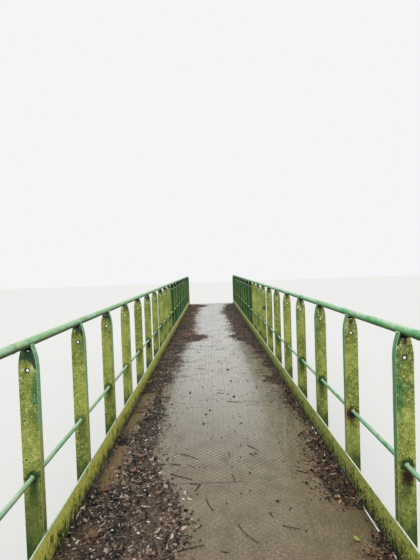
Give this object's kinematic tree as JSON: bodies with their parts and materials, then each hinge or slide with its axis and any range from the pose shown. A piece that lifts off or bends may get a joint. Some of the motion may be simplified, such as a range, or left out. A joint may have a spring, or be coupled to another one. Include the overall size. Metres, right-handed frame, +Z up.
{
  "type": "steel footbridge",
  "caption": "Steel footbridge with bent-top channel posts, tube rails, toe plates and a raised-pattern plate deck on rolled beams, from concrete abutments up.",
  "frame": {"origin": "centre of the bridge on the level of the abutments' feet", "axes": "+Z up, +Y along the bridge away from the picture's viewpoint, +X to the right of someone walking along +Y"},
  "size_m": [1.9, 14.16, 2.7989],
  "materials": {
    "concrete": "weathered cast concrete with damp stains",
    "bearing_steel": "dull rusted steel",
    "beam_paint": "old dark green paint with rust and algae",
    "tread_steel": "wet raised-pattern steel plate, brown with dirt",
    "post_paint": "green paint under yellow-green algae",
    "toe_plate_paint": "green paint under algae, peeling at the foot",
    "left_handrail_paint": "bleached pale green paint",
    "right_handrail_paint": "glossy mid green paint",
    "midrail_paint": "green paint, dull"
  },
  "bodies": {
    "root": {"abutment_near": "concrete", "abutment_far": "concrete", "bearing_plates": "bearing_steel", "main_beam_left": "beam_paint", "main_beam_right": "beam_paint", "outrigger_plates": "beam_paint", "cross_bearers": "beam_paint", "tread_plate_01": "tread_steel", "tread_plate_02": "tread_steel", "tread_plate_03": "tread_steel", "tread_plate_04": "tread_steel", "tread_plate_05": "tread_steel", "tread_plate_06": "tread_steel", "tread_plate_07": "tread_steel", "tread_plate_08": "tread_steel", "tread_plate_09": "tread_steel", "tread_plate_10": "tread_steel", "post_pair_01": "post_paint", "post_pair_02": "post_paint", "post_pair_03": "post_paint", "post_pair_04": "post_paint", "post_pair_05": "post_paint", "post_pair_06": "post_paint", "post_pair_07": "post_paint", "post_pair_08": "post_paint", "post_pair_09": "post_paint", "post_pair_10": "post_paint", "post_pair_11": "post_paint", "post_pair_12": "post_paint", "post_pair_13": "post_paint", "post_pair_14": "post_paint", "post_pair_15": "post_paint", "post_pair_16": "post_paint", "post_pair_17": "post_paint", "post_pair_18": "post_paint", "post_pair_19": "post_paint", "post_pair_20": "post_paint", "post_pair_21": "post_paint", "handrail_left": "left_handrail_paint", "handrail_right": "right_handrail_paint", "midrail_left": "midrail_paint", "midrail_right": "midrail_paint", "rail_end_caps": "midrail_paint", "toe_plates_left": "toe_plate_paint", "toe_plates_right": "toe_plate_paint"}
  },
  "joints": []
}
